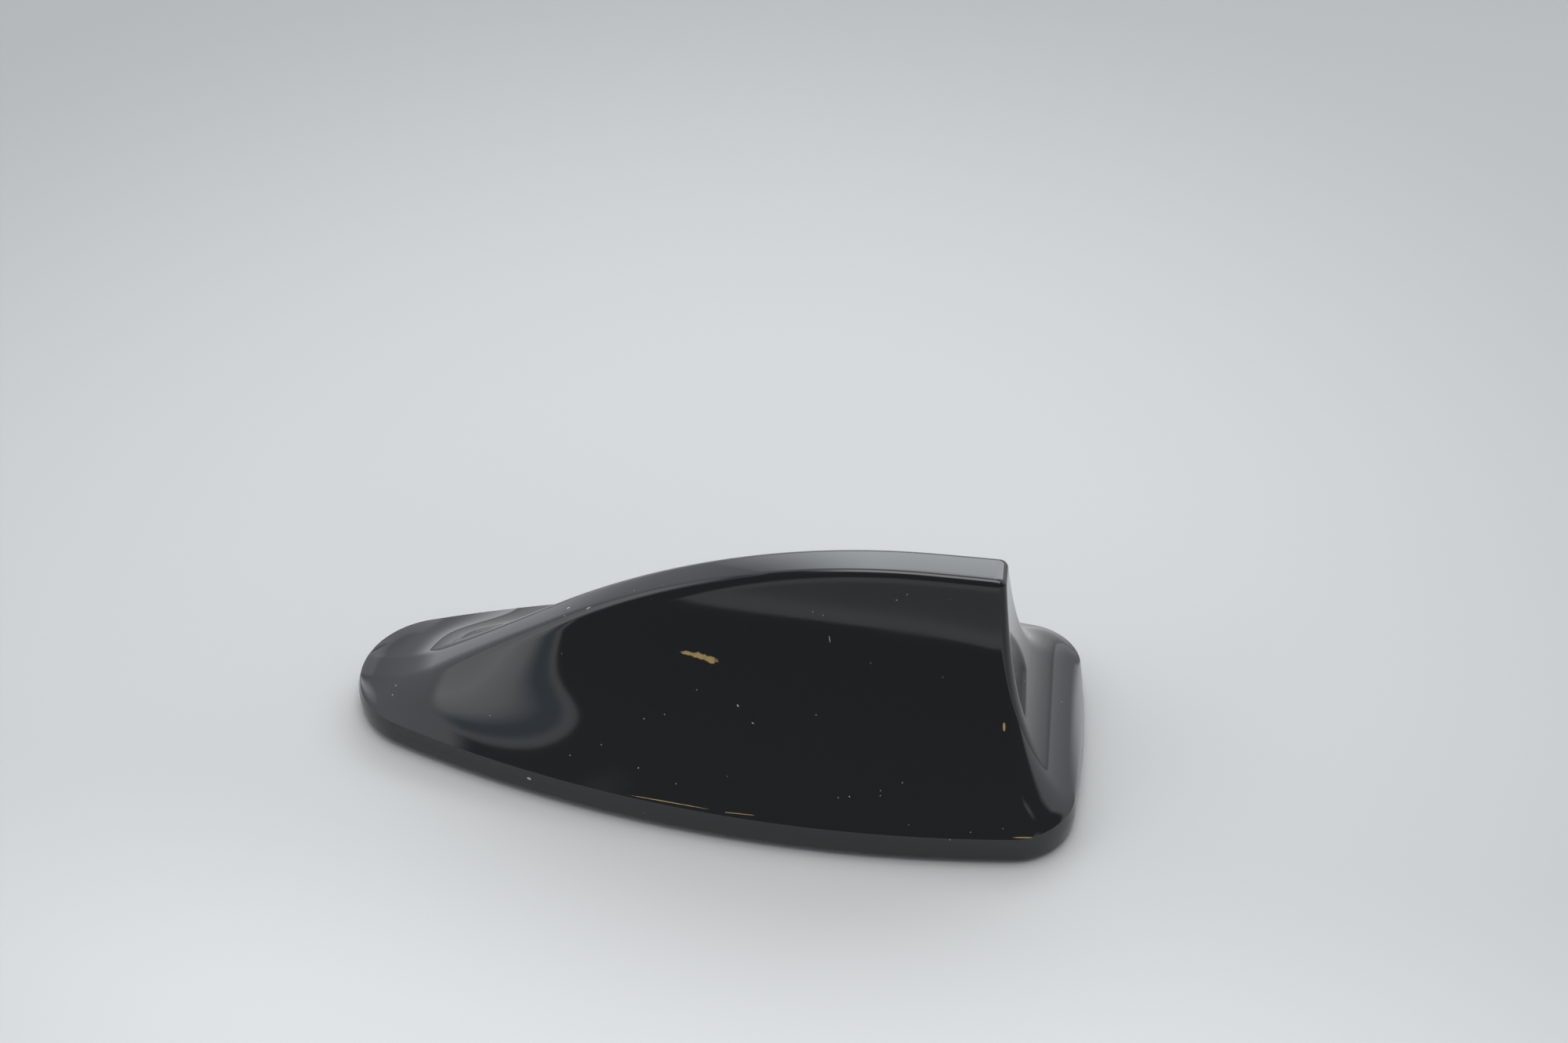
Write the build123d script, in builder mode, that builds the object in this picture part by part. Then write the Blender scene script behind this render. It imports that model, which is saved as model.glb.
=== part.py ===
from build123d import *
import os
from math import atan, cos, exp, hypot, radians, sin, sqrt, tan

# Shark-fin roof antenna, in millimetres. The nose points along -X, +Z is up and
# the car roof is the plane z = 0. The roof bolt stands on the Z axis.

# overall sizes
LENGTH = 150.0
WIDTH = 67.0
HEIGHT = 47.8  # roof to the crest of the ridge

# plan outline, as seen from above
NOSE_RADIUS = 17.2
WIDEST_FROM_NOSE = 104.3
REAR_RADIUS = 185.0
CORNER_RADIUS = 10.0

# rim of the cover
RIM_GAP = 0.8  # rim and casting stand this far above the roof
CREASE_HEIGHT = 5.0
RIM_TOP = 6.4
RIM_LEAN = 18.0  # degrees that the band above the crease leans in
RIM_ROUND = 1.1

# ridge, as seen from the side
NOSE_RUN = 10.0
NOSE_BLEND = 25.0
RISE_ANGLE = 31.9
CREST_RADIUS = 140.0
DROP_RADIUS = 700.0
RIDGE_TO_REAR = 18.6
STRIP_FRONT = 5.6
STRIP_REAR = 7.6
EDGE_RADIUS = 1.2
NOSE_EDGE = 10.0  # added to the edge radius where the ridge starts, dying out as it rises
EDGE_BUILD = 10.0

# sides, as seen from behind
TOP_ANGLE = 74.0
FOOT_ANGLE = 36.0
TOP_BUILD = 9.0  # rise over which the top angle builds up
FOOT_BUILD = 14.0

# tail, as seen from the side
TAIL_LEAN = 2.6
TAIL_KNEE = 26.0
TAIL_FOOT = 6.0
TAIL_FOOT_HEIGHT = 9.0
TAIL_OVERRUN = 1.5  # the tail curve runs on past the rim, to be trimmed
TAIL_ROUND_TOP = 1.6  # radius of the upright tail edges at the ridge
TAIL_ROUND_FOOT = 6.0
TAIL_CLOSE = 8.0  # degrees that the round starts turned in from the side
TAIL_PROUD = 0.06  # the round starts this far outside the side, to cross it cleanly
CROWN_ROUND = 1.8

# walls
WALL = 2.4
TAIL_WALL = 3.4
LEDGE_WIDTH = 2.6
RIM_WALL = 2.6
BASE_THICKNESS = 2.4
LIP_WIDTH = 1.6
LIP_HEIGHT = 1.6

# seals
COVER_SEAL = 0.8
ROOF_SEAL_INSET = 4.6
ROOF_SEAL_WIDTH = 3.4
ROOF_SEAL_DEPTH = 1.2

# screws
COVER_SCREW_RADIUS = 1.4
COVER_SCREW_HEAD = 2.6
COVER_SCREW_HEAD_HEIGHT = 1.5
COVER_SCREW_BITE = 3.8
BOSS_WALL = 2.0
PAD_HEIGHT = 2.0
NOSE_SCREW_FROM_TIP = 18.0
FRONT_SCREW = (-15.0, 15.8)
REAR_SCREW = (50.0, 17.5)
BOARD_SCREW_RADIUS = 1.1
BOARD_SCREW_HEAD = 2.2
BOARD_SCREW_HEAD_HEIGHT = 1.3
BOARD_SCREW_BITE = 2.4
POST_RADIUS = 2.6
POST_HEIGHT = 3.0

# roof bolt and lead
BOLT_RADIUS = 2.5
BOLT_DEPTH = 9.0
BOLT_BOSS_WALL = 4.6
BOLT_BOSS_CAP = 1.6
LEAD_RADIUS = 2.4
LEAD_X = 57.0
GROMMET_WALL = 2.6
GROMMET_FLANGE = 1.6
GROMMET_FLANGE_HEIGHT = 1.0
GROMMET_NOZZLE = 4.4

# board and what it carries
BOARD_FRONT = -45.0
BOARD_REAR = 47.5
BOARD_HALF_WIDTH = 11.4
BOARD_NOSE_HALF_WIDTH = 6.0
BOARD_TAPER = 12.0
BOARD_THICKNESS = 1.6
PATCH_SIDE = 18.0
PATCH_HEIGHT = 4.0
PATCH_X = -25.0
PIN_RADIUS = 0.5
CAN_LENGTH = 18.0
CAN_WIDTH = 17.0
CAN_HEIGHT = 4.0
CAN_SHEET = 0.4
CAN_X = 25.0
CHIP_HEIGHT = 1.1
SOCKET_LENGTH = 5.0
SOCKET_WIDTH = 7.0
SOCKET_HEIGHT = 4.6
SOCKET_BORE = 1.8

# upright plate and its holder
PLATE_THICKNESS = 0.6
PLATE_REAR = 47.0
PLATE_SLOT = 1.6
PLATE_SLOT_PITCH = 6.5
LEG_WIDTH = 2.5
POST_LENGTH = 5.0
POST_WIDTH = 5.0
BEAM_HEIGHT = 3.0
DAMPER_HEIGHT = 1.4
DAMPER_WIDTH = 2.2

# clearances
FIT = 0.1
SEAT_FIT = 0.3
SOFT_FIT = 0.15
ROOM = 0.6

nose_x = -LENGTH / 2
rear_x = LENGTH / 2
base_top = RIM_GAP + BASE_THICKNESS
ledge_z = base_top + COVER_SEAL
pad_top = base_top + PAD_HEIGHT
board_bottom = base_top + POST_HEIGHT
board_top = board_bottom + BOARD_THICKNESS
cavity_inset = RIM_WALL + LEDGE_WIDTH
base_inset = RIM_WALL + SEAT_FIT


def unit(dx, dy):
    size = hypot(dx, dy)
    return (dx / size, dy / size)


def along(centre, radius, direction):
    return (centre[0] + radius * direction[0], centre[1] + radius * direction[1])


def between(one, other):
    return unit(one[0] + other[0], one[1] + other[1])


def flip(point):
    return (point[0], -point[1])


def mirrored(point):
    return (-point[0], point[1])


# plan outline: the side arc follows from the width and from the nose that it runs on from
nose_centre = (nose_x + NOSE_RADIUS, 0.0)
widest_x = nose_x + WIDEST_FROM_NOSE
side_run = widest_x - nose_centre[0]
side_radius = (side_run**2 + WIDTH**2 / 4 - NOSE_RADIUS**2) / (WIDTH - 2 * NOSE_RADIUS)
side_centre = (widest_x, WIDTH / 2 - side_radius)
rear_centre = (rear_x - REAR_RADIUS, 0.0)
nose_end = unit(nose_centre[0] - side_centre[0], nose_centre[1] - side_centre[1])
side_start_x = along(side_centre, side_radius, nose_end)[0]


def corner_centre(inset, radius):
    """Centre of the round that joins the side arc to the rear arc."""
    to_side = side_radius - inset - radius
    to_rear = REAR_RADIUS - inset - radius
    dx = rear_centre[0] - side_centre[0]
    dy = rear_centre[1] - side_centre[1]
    gap = hypot(dx, dy)
    share = (to_side**2 - to_rear**2 + gap**2) / (2 * gap)
    rise = sqrt(to_side**2 - share**2)
    x = side_centre[0] + (share * dx + rise * dy) / gap
    y = side_centre[1] + (share * dy - rise * dx) / gap
    return (x, y)


def plan_outline(inset, z):
    """Face inside the plan outline, moved in by the inset, at height z."""
    corner_radius = max(CORNER_RADIUS - inset, 1.0)
    corner = corner_centre(inset, corner_radius)
    corner_start = unit(corner[0] - side_centre[0], corner[1] - side_centre[1])
    corner_end = unit(corner[0] - rear_centre[0], corner[1] - rear_centre[1])
    tip = (nose_x + inset, 0.0)
    nose_to_side = along(side_centre, side_radius - inset, nose_end)
    side_mid = along(side_centre, side_radius - inset, between(nose_end, corner_start))
    side_to_corner = along(side_centre, side_radius - inset, corner_start)
    corner_mid = along(corner, corner_radius, between(corner_start, corner_end))
    corner_to_rear = along(rear_centre, REAR_RADIUS - inset, corner_end)
    with BuildSketch(Plane.XY.offset(z)) as outline:
        with BuildLine():
            ThreePointArc(flip(nose_to_side), tip, nose_to_side)
            ThreePointArc(nose_to_side, side_mid, side_to_corner)
            ThreePointArc(side_to_corner, corner_mid, corner_to_rear)
            ThreePointArc(corner_to_rear, (rear_x - inset, 0.0), flip(corner_to_rear))
            ThreePointArc(flip(corner_to_rear), flip(corner_mid), flip(side_to_corner))
            ThreePointArc(flip(side_to_corner), flip(side_mid), flip(nose_to_side))
        make_face()
    return outline.sketch


def half_width(x):
    """Half the plan width at a distance along the fin."""
    if x < side_start_x:
        return sqrt(max(NOSE_RADIUS**2 - (x - nose_centre[0]) ** 2, 0.0))
    return side_centre[1] + sqrt(side_radius**2 - (x - side_centre[0]) ** 2)


# ridge: level nose, hollow blend, straight rise, crest arc and a slight drop to the tail
rise_slope = radians(RISE_ANGLE)
rise_x = nose_x + NOSE_RUN
blend_run = NOSE_BLEND * tan(rise_slope / 2)
crest_rise = CREST_RADIUS * (1 - cos(rise_slope))
crest_x = rise_x + CREST_RADIUS * sin(rise_slope) + (HEIGHT - RIM_TOP - crest_rise) / tan(rise_slope)
ridge_end_x = rear_x - RIDGE_TO_REAR


def ridge_height(x):
    if x <= rise_x - blend_run:
        return RIM_TOP
    if x <= rise_x + blend_run * cos(rise_slope):
        return RIM_TOP + NOSE_BLEND - sqrt(NOSE_BLEND**2 - (x - rise_x + blend_run) ** 2)
    if x <= crest_x - CREST_RADIUS * sin(rise_slope):
        return RIM_TOP + (x - rise_x) * tan(rise_slope)
    if x <= crest_x:
        return HEIGHT - CREST_RADIUS + sqrt(CREST_RADIUS**2 - (crest_x - x) ** 2)
    return HEIGHT - DROP_RADIUS + sqrt(DROP_RADIUS**2 - (x - crest_x) ** 2)


# cross-sections of the fin, as shares of the length
STATIONS = (-0.03, 0.03, 0.08, 0.14, 0.21, 0.30, 0.41, 0.54, 0.68, 0.84, 1.06)
UPPER_HANDLE = 0.5  # handles of the side curve, as shares of its chord
LOWER_HANDLE = 0.4
HOLLOW_SHARES = (0.33, 0.67, 1.0)  # corners of the inside, as shares of the side curve
HOLLOW_STEPS = 20
SKIRT = 8.0  # how far each section runs on past the plan outline, to be trimmed


def side_curve(x, inset):
    """Ends and handles of one side of the section, with the slopes at its top and foot."""
    rise = ridge_height(x) - RIM_TOP
    top = radians(max(TOP_ANGLE * (1 - exp(-rise / TOP_BUILD)), 4.0))
    foot = radians(max(FOOT_ANGLE * (1 - exp(-rise / FOOT_BUILD)), 2.0))
    strip = STRIP_FRONT + (STRIP_REAR - STRIP_FRONT) * (x - nose_x) / LENGTH
    half = strip / 2 - inset * tan(top / 2)
    edge = max(EDGE_RADIUS + NOSE_EDGE * exp(-rise / EDGE_BUILD) - inset, 0.3)
    edge_run = edge * tan(top / 2)
    start = (half + edge_run * cos(top), ridge_height(x) - inset - edge_run * sin(top))
    reach = max(half_width(x), NOSE_RADIUS / 2)
    rim = (reach - inset * sin(foot), RIM_TOP - inset * cos(foot))
    chord = hypot(rim[0] - start[0], rim[1] - start[1])
    upper = (start[0] + UPPER_HANDLE * chord * cos(top), start[1] - UPPER_HANDLE * chord * sin(top))
    lower = (rim[0] - LOWER_HANDLE * chord * cos(foot), rim[1] + LOWER_HANDLE * chord * sin(foot))
    return start, upper, lower, rim, top, foot, half, edge


def fin_section(x, inset):
    """Section across the fin: flat strip, rounded edge, hollow side and a skirt to trim."""
    edge_end, upper, lower, rim, top, foot, half, edge = side_curve(x, inset)
    z = ridge_height(x) - inset
    strip_end = (half - edge * tan(top / 2), z)
    edge_mid = (strip_end[0] + edge * sin(top / 2), z - edge + edge * cos(top / 2))
    skirt = (rim[0] + SKIRT * cos(foot), rim[1] - SKIRT * sin(foot))
    hem = (skirt[0], -SKIRT)
    with BuildSketch(Plane.YZ.offset(x)) as section:
        with BuildLine():
            Line(mirrored(strip_end), strip_end)
            ThreePointArc(strip_end, edge_mid, edge_end)
            Bezier(edge_end, upper, lower, rim)
            Line(rim, skirt)
            Line(skirt, hem)
            Line(hem, mirrored(hem))
            Line(mirrored(hem), mirrored(skirt))
            Line(mirrored(skirt), mirrored(rim))
            Bezier(mirrored(rim), mirrored(lower), mirrored(upper), mirrored(edge_end))
            ThreePointArc(mirrored(edge_end), mirrored(edge_mid), mirrored(strip_end))
        make_face()
    return section.sketch


def curve_point(points, share):
    """Point of a four-point curve at a share of its run."""
    rest = 1 - share
    weights = (rest**3, 3 * rest**2 * share, 3 * rest * share**2, share**3)
    x = sum(weight * point[0] for weight, point in zip(weights, points))
    y = sum(weight * point[1] for weight, point in zip(weights, points))
    return (x, y)


def side_reach(x, z):
    """Half the width of the fin at height z; its slopes run on past the ridge and the rim."""
    start, upper, lower, rim, top, foot, half, edge = side_curve(x, 0.0)
    if z >= start[1]:
        return start[0] - (z - start[1]) / tan(top)
    if z <= rim[1]:
        return rim[0] + (rim[1] - z) / tan(foot)
    low, high = 0.0, 1.0
    for turn in range(40):
        share = (low + high) / 2
        if curve_point((start, upper, lower, rim), share)[1] > z:
            low = share
        else:
            high = share
    return curve_point((start, upper, lower, rim), low)[0]


def hollow_section(x, inset):
    """Section across the inside of the fin, in straight runs."""
    start, upper, lower, rim, top, foot, half, edge = side_curve(x, inset)
    side = [curve_point((start, upper, lower, rim), share) for share in HOLLOW_SHARES]
    skirt = (rim[0] + SKIRT * cos(foot), rim[1] - SKIRT * sin(foot))
    near = [(half, ridge_height(x) - inset), *side, skirt, (skirt[0], -SKIRT)]
    with BuildSketch(Plane.YZ.offset(x)) as section:
        with BuildLine():
            Polyline(*near, *[mirrored(point) for point in reversed(near)], close=True)
        make_face()
    return section.sketch


def hollow_sections(inset):
    step = LENGTH * (STATIONS[-1] - STATIONS[0]) / HOLLOW_STEPS
    first_x = nose_x + STATIONS[0] * LENGTH
    return [hollow_section(first_x + turn * step, inset) for turn in range(HOLLOW_STEPS + 1)]


def tail_curve(inset):
    crown = (ridge_end_x - inset, HEIGHT + 1.0)
    knee = (ridge_end_x + TAIL_LEAN - inset, TAIL_KNEE)
    foot = (ridge_end_x + TAIL_FOOT - inset, TAIL_FOOT_HEIGHT - inset)
    end = (rear_x + TAIL_OVERRUN, RIM_TOP + 0.2 - inset)
    return crown, knee, foot, end


def tail_profile(inset):
    """Region behind the hollow tail, to cut away across the whole width."""
    crown, knee, foot, end = tail_curve(inset)
    far_x = rear_x + LENGTH / 2
    with BuildSketch(Plane.XZ.offset(-WIDTH)) as profile:
        with BuildLine():
            Bezier(crown, knee, foot, end)
            Line(end, (far_x, end[1]))
            Line((far_x, end[1]), (far_x, 2 * HEIGHT))
            Line((far_x, 2 * HEIGHT), (crown[0], 2 * HEIGHT))
            Line((crown[0], 2 * HEIGHT), crown)
        make_face()
    return profile.sketch


def tail_outline(tail_x, z, radius):
    """Level outline that is open in front, closes in on the sides and rounds the tail corners."""
    mouth_x = tail_x - radius
    side_slope = atan((side_reach(tail_x, z) - side_reach(tail_x - 2 * radius, z)) / (2 * radius))
    turn = side_slope - radians(TAIL_CLOSE)
    start_x = mouth_x - radius * sin(turn)
    start = (start_x, side_reach(start_x, z) + TAIL_PROUD)
    centre = (mouth_x, start[1] - radius * cos(turn))
    half_turn = (radians(90) + turn) / 2
    middle = along(centre, radius, (cos(half_turn), sin(half_turn)))
    end = (tail_x, centre[1])
    front_x = nose_x - SKIRT
    front = (front_x, start[1] - (start_x - front_x) * tan(turn))
    with BuildSketch(Plane.XY.offset(z)) as outline:
        with BuildLine():
            Line(front, start)
            ThreePointArc(start, middle, end)
            Line(end, flip(end))
            ThreePointArc(flip(end), flip(middle), flip(start))
            Line(flip(start), flip(front))
            Line(flip(front), front)
        make_face()
    return outline.sketch


TAIL_LEVELS = (0.0, 0.2, 0.4, 0.55, 0.7, 0.85, 1.0)  # shares of the run of the tail curve


RIM_TURNS = (0.0, 30.0, 60.0, 90.0)  # degrees round the lower edge of the rim


def rim_turn(turn):
    inset = RIM_ROUND * (1 - sin(radians(turn)))
    return plan_outline(inset, RIM_GAP + RIM_ROUND * (1 - cos(radians(turn))))


band = 4.0
band_lean = band * tan(radians(RIM_LEAN))

with BuildPart() as rim_form:
    for low, high in zip(RIM_TURNS, RIM_TURNS[1:]):
        loft(sections=[rim_turn(low), rim_turn(high)])
    extrude(rim_turn(90.0), amount=CREASE_HEIGHT - RIM_GAP - RIM_ROUND)
    loft(sections=[plan_outline(0.0, CREASE_HEIGHT), plan_outline(band_lean, CREASE_HEIGHT + band)])
    extrude(plan_outline(band_lean, CREASE_HEIGHT + band), amount=HEIGHT)

tail_points = tail_curve(0.0)
tail_outlines = []
for share in TAIL_LEVELS:
    tail_spot = curve_point(tail_points, share)
    tail_round = TAIL_ROUND_TOP + (TAIL_ROUND_FOOT - TAIL_ROUND_TOP) * share
    tail_outlines.append(tail_outline(tail_spot[0], tail_spot[1], tail_round))
tail_spot = curve_point(tail_points, 1.1)
tail_outlines.append(tail_outline(tail_spot[0], tail_spot[1], TAIL_ROUND_FOOT))

with BuildPart() as tail_form:
    loft(sections=tail_outlines)
    with BuildSketch(Plane.XY.offset(-SKIRT)):
        Rectangle(2 * LENGTH, 2 * WIDTH)
    extrude(amount=SKIRT + RIM_TOP)

# the crown round meets the ridge and the tail nearly level with them
crown_x = curve_point(tail_points, 0.02)[0]
crown_z = ridge_height(crown_x)
crown_start = (crown_x - CROWN_ROUND, ridge_height(crown_x - CROWN_ROUND))
crown_end = (crown_x + 0.1, crown_z - CROWN_ROUND)
crown_pull = 0.33 * CROWN_ROUND
crown_mid = (crown_x - crown_pull, crown_z - crown_pull)

with BuildSketch(Plane.XZ.offset(-WIDTH)) as crown_profile:
    with BuildLine():
        ThreePointArc(crown_start, crown_mid, crown_end)
        Line(crown_end, (rear_x, crown_end[1]))
        Line((rear_x, crown_end[1]), (rear_x, HEIGHT + SKIRT))
        Line((rear_x, HEIGHT + SKIRT), (crown_start[0], HEIGHT + SKIRT))
        Line((crown_start[0], HEIGHT + SKIRT), crown_start)
    make_face()

with BuildPart() as fin_form:
    loft(sections=[fin_section(nose_x + share * LENGTH, 0.0) for share in STATIONS])
    add(rim_form.part, mode=Mode.INTERSECT)
    add(tail_form.part, mode=Mode.INTERSECT)
    extrude(crown_profile.sketch, amount=2 * WIDTH, mode=Mode.SUBTRACT)

with BuildPart() as fin_hollow:
    loft(sections=hollow_sections(WALL), ruled=True)
    extrude(plan_outline(cavity_inset, ledge_z), amount=HEIGHT, mode=Mode.INTERSECT)
    extrude(tail_profile(TAIL_WALL), amount=2 * WIDTH, mode=Mode.SUBTRACT)
    extrude(plan_outline(RIM_WALL, 0.0), amount=ledge_z)

cover_screw_spots = [
    (nose_x + NOSE_SCREW_FROM_TIP, 0.0),
    FRONT_SCREW,
    flip(FRONT_SCREW),
    REAR_SCREW,
    flip(REAR_SCREW),
]
boss_radius = COVER_SCREW_RADIUS + BOSS_WALL

with BuildPart() as cover_bosses:
    with BuildSketch(Plane.XY.offset(pad_top)):
        with Locations(cover_screw_spots):
            Circle(boss_radius)
    extrude(amount=HEIGHT)
    add(fin_form.part, mode=Mode.INTERSECT)

with BuildPart() as fin_cover:
    add(fin_form.part)
    add(fin_hollow.part, mode=Mode.SUBTRACT)
    add(cover_bosses.part)
    with BuildSketch(Plane.XY.offset(pad_top)):
        with Locations(cover_screw_spots):
            Circle(COVER_SCREW_RADIUS + FIT)
    extrude(amount=COVER_SCREW_BITE + FIT, mode=Mode.SUBTRACT)

board_screw_spots = [
    (PATCH_X + PATCH_SIDE / 2 + BOARD_SCREW_HEAD + ROOM, BOARD_HALF_WIDTH - BOARD_SCREW_HEAD - ROOM),
    (BOARD_REAR - BOARD_SCREW_HEAD - ROOM, BOARD_HALF_WIDTH - BOARD_SCREW_HEAD - ROOM),
]
board_screw_spots += [flip(spot) for spot in board_screw_spots]
front_post = (BOARD_FRONT + POST_RADIUS + ROOM, 0.0)
head_seat = RIM_GAP + COVER_SCREW_HEAD_HEIGHT + FIT
grommet_neck = LEAD_RADIUS + GROMMET_WALL
seal_groove_top = RIM_GAP + ROOF_SEAL_DEPTH

# the lip that centres the cover stops where the nose leaves it no headroom
with BuildPart() as base_lip:
    loft(sections=hollow_sections(WALL + SEAT_FIT), ruled=True)
    with BuildSketch(Plane.XY.offset(base_top)):
        add(plan_outline(cavity_inset + SEAT_FIT, 0.0))
        add(plan_outline(cavity_inset + SEAT_FIT + LIP_WIDTH, 0.0), mode=Mode.SUBTRACT)
    extrude(amount=LIP_HEIGHT, mode=Mode.INTERSECT)

with BuildPart() as base_casting:
    extrude(plan_outline(base_inset, RIM_GAP), amount=BASE_THICKNESS)
    add(base_lip.part)
    with BuildSketch(Plane.XY.offset(base_top)):
        with Locations(cover_screw_spots):
            Circle(boss_radius)
    extrude(amount=PAD_HEIGHT)
    with BuildSketch(Plane.XY.offset(base_top)):
        with Locations(board_screw_spots, front_post):
            Circle(POST_RADIUS)
    extrude(amount=POST_HEIGHT)
    with BuildSketch(Plane.XY.offset(base_top)):
        Circle(BOLT_RADIUS + BOLT_BOSS_WALL)
    extrude(amount=BOLT_DEPTH + BOLT_BOSS_CAP - BASE_THICKNESS)
    with BuildSketch(Plane.XY.offset(RIM_GAP)):
        Circle(BOLT_RADIUS)
    extrude(amount=BOLT_DEPTH, mode=Mode.SUBTRACT)
    with BuildSketch(Plane.XY.offset(RIM_GAP)):
        with Locations(cover_screw_spots):
            Circle(COVER_SCREW_RADIUS + SEAT_FIT)
    extrude(amount=BASE_THICKNESS + PAD_HEIGHT, mode=Mode.SUBTRACT)
    with BuildSketch(Plane.XY.offset(RIM_GAP)):
        with Locations(cover_screw_spots):
            Circle(COVER_SCREW_HEAD + SEAT_FIT)
    extrude(amount=COVER_SCREW_HEAD_HEIGHT + FIT, mode=Mode.SUBTRACT)
    with BuildSketch(Plane.XY.offset(board_bottom)):
        with Locations(board_screw_spots):
            Circle(BOARD_SCREW_RADIUS + FIT)
    extrude(amount=-BOARD_SCREW_BITE - FIT, mode=Mode.SUBTRACT)
    with BuildSketch(Plane.XY.offset(RIM_GAP)):
        with Locations((LEAD_X, 0.0)):
            Circle(grommet_neck + SOFT_FIT)
    extrude(amount=BASE_THICKNESS, mode=Mode.SUBTRACT)
    with BuildSketch(Plane.XY.offset(RIM_GAP)):
        with Locations((LEAD_X, 0.0)):
            Circle(grommet_neck + GROMMET_FLANGE + SOFT_FIT)
    extrude(amount=GROMMET_FLANGE_HEIGHT, mode=Mode.SUBTRACT)
    with BuildSketch(Plane.XY.offset(RIM_GAP)):
        add(plan_outline(ROOF_SEAL_INSET, 0.0))
        add(plan_outline(ROOF_SEAL_INSET + ROOF_SEAL_WIDTH, 0.0), mode=Mode.SUBTRACT)
    extrude(amount=ROOF_SEAL_DEPTH, mode=Mode.SUBTRACT)

with BuildPart() as roof_seal:
    with BuildSketch(Plane.XY):
        add(plan_outline(ROOF_SEAL_INSET + SOFT_FIT, 0.0))
        add(plan_outline(ROOF_SEAL_INSET + ROOF_SEAL_WIDTH - SOFT_FIT, 0.0), mode=Mode.SUBTRACT)
    extrude(amount=seal_groove_top)

with BuildPart() as cover_seal:
    with BuildSketch(Plane.XY.offset(base_top)):
        add(plan_outline(base_inset, 0.0))
        add(plan_outline(cavity_inset, 0.0), mode=Mode.SUBTRACT)
    extrude(amount=COVER_SEAL)

with BuildPart() as cover_screws:
    with BuildSketch(Plane.XY.offset(head_seat)):
        with Locations(cover_screw_spots):
            Circle(COVER_SCREW_HEAD)
    extrude(amount=-COVER_SCREW_HEAD_HEIGHT)
    with BuildSketch(Plane.XY.offset(head_seat)):
        with Locations(cover_screw_spots):
            Circle(COVER_SCREW_RADIUS)
    extrude(amount=pad_top + COVER_SCREW_BITE - head_seat)
    with BuildSketch(Plane.XY.offset(head_seat - COVER_SCREW_HEAD_HEIGHT)):
        with Locations(cover_screw_spots):
            RegularPolygon(COVER_SCREW_RADIUS, 6)
    extrude(amount=COVER_SCREW_HEAD_HEIGHT / 2, mode=Mode.SUBTRACT)

with BuildPart() as lead_grommet:
    with BuildSketch(Plane.XY.offset(RIM_GAP)):
        with Locations((LEAD_X, 0.0)):
            Circle(grommet_neck + GROMMET_FLANGE)
    extrude(amount=GROMMET_FLANGE_HEIGHT)
    with BuildSketch(Plane.XY.offset(RIM_GAP)):
        with Locations((LEAD_X, 0.0)):
            Circle(grommet_neck)
    extrude(amount=BASE_THICKNESS)
    with BuildSketch(Plane.XY.offset(base_top)):
        with Locations((LEAD_X, 0.0)):
            Circle(grommet_neck + GROMMET_FLANGE)
    extrude(amount=GROMMET_FLANGE_HEIGHT)
    with BuildSketch(Plane.XY.offset(base_top + GROMMET_FLANGE_HEIGHT)):
        with Locations((LEAD_X, 0.0)):
            Circle(grommet_neck)
    extrude(amount=GROMMET_NOZZLE, taper=10)
    with BuildSketch(Plane.XY.offset(RIM_GAP)):
        with Locations((LEAD_X, 0.0)):
            Circle(LEAD_RADIUS)
    extrude(amount=HEIGHT, mode=Mode.SUBTRACT)

leg_front_x = BOLT_RADIUS + BOLT_BOSS_WALL + ROOM + FIT + ROOM + POST_LENGTH / 2
leg_rear_x = CAN_X + CAN_LENGTH / 2 + ROOM + POST_LENGTH / 2
leg_spots = [(leg_front_x, 0.0), (leg_rear_x, 0.0)]

with BuildPart() as main_board:
    with BuildSketch(Plane.XY.offset(board_bottom)):
        with BuildLine():
            Polyline(
                (BOARD_FRONT, BOARD_NOSE_HALF_WIDTH),
                (BOARD_FRONT + BOARD_TAPER, BOARD_HALF_WIDTH),
                (BOARD_REAR, BOARD_HALF_WIDTH),
                (BOARD_REAR, -BOARD_HALF_WIDTH),
                (BOARD_FRONT + BOARD_TAPER, -BOARD_HALF_WIDTH),
                (BOARD_FRONT, -BOARD_NOSE_HALF_WIDTH),
                close=True,
            )
        make_face()
        Circle(BOLT_RADIUS + BOLT_BOSS_WALL + ROOM, mode=Mode.SUBTRACT)
        with Locations(board_screw_spots):
            Circle(BOARD_SCREW_RADIUS + SEAT_FIT, mode=Mode.SUBTRACT)
        with Locations(leg_spots):
            Rectangle(LEG_WIDTH + 2 * FIT, PLATE_THICKNESS + 2 * FIT, mode=Mode.SUBTRACT)
        with Locations((PATCH_X, 0.0)):
            Circle(PIN_RADIUS + FIT, mode=Mode.SUBTRACT)
    extrude(amount=BOARD_THICKNESS)

with BuildPart() as board_screws:
    with BuildSketch(Plane.XY.offset(board_top)):
        with Locations(board_screw_spots):
            Circle(BOARD_SCREW_HEAD)
    extrude(amount=BOARD_SCREW_HEAD_HEIGHT)
    with BuildSketch(Plane.XY.offset(board_top)):
        with Locations(board_screw_spots):
            Circle(BOARD_SCREW_RADIUS)
    extrude(amount=-BOARD_THICKNESS - BOARD_SCREW_BITE)
    with BuildSketch(Plane.XY.offset(board_top + BOARD_SCREW_HEAD_HEIGHT)):
        with Locations(board_screw_spots):
            RegularPolygon(BOARD_SCREW_RADIUS, 6)
    extrude(amount=-BOARD_SCREW_HEAD_HEIGHT / 2, mode=Mode.SUBTRACT)

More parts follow.
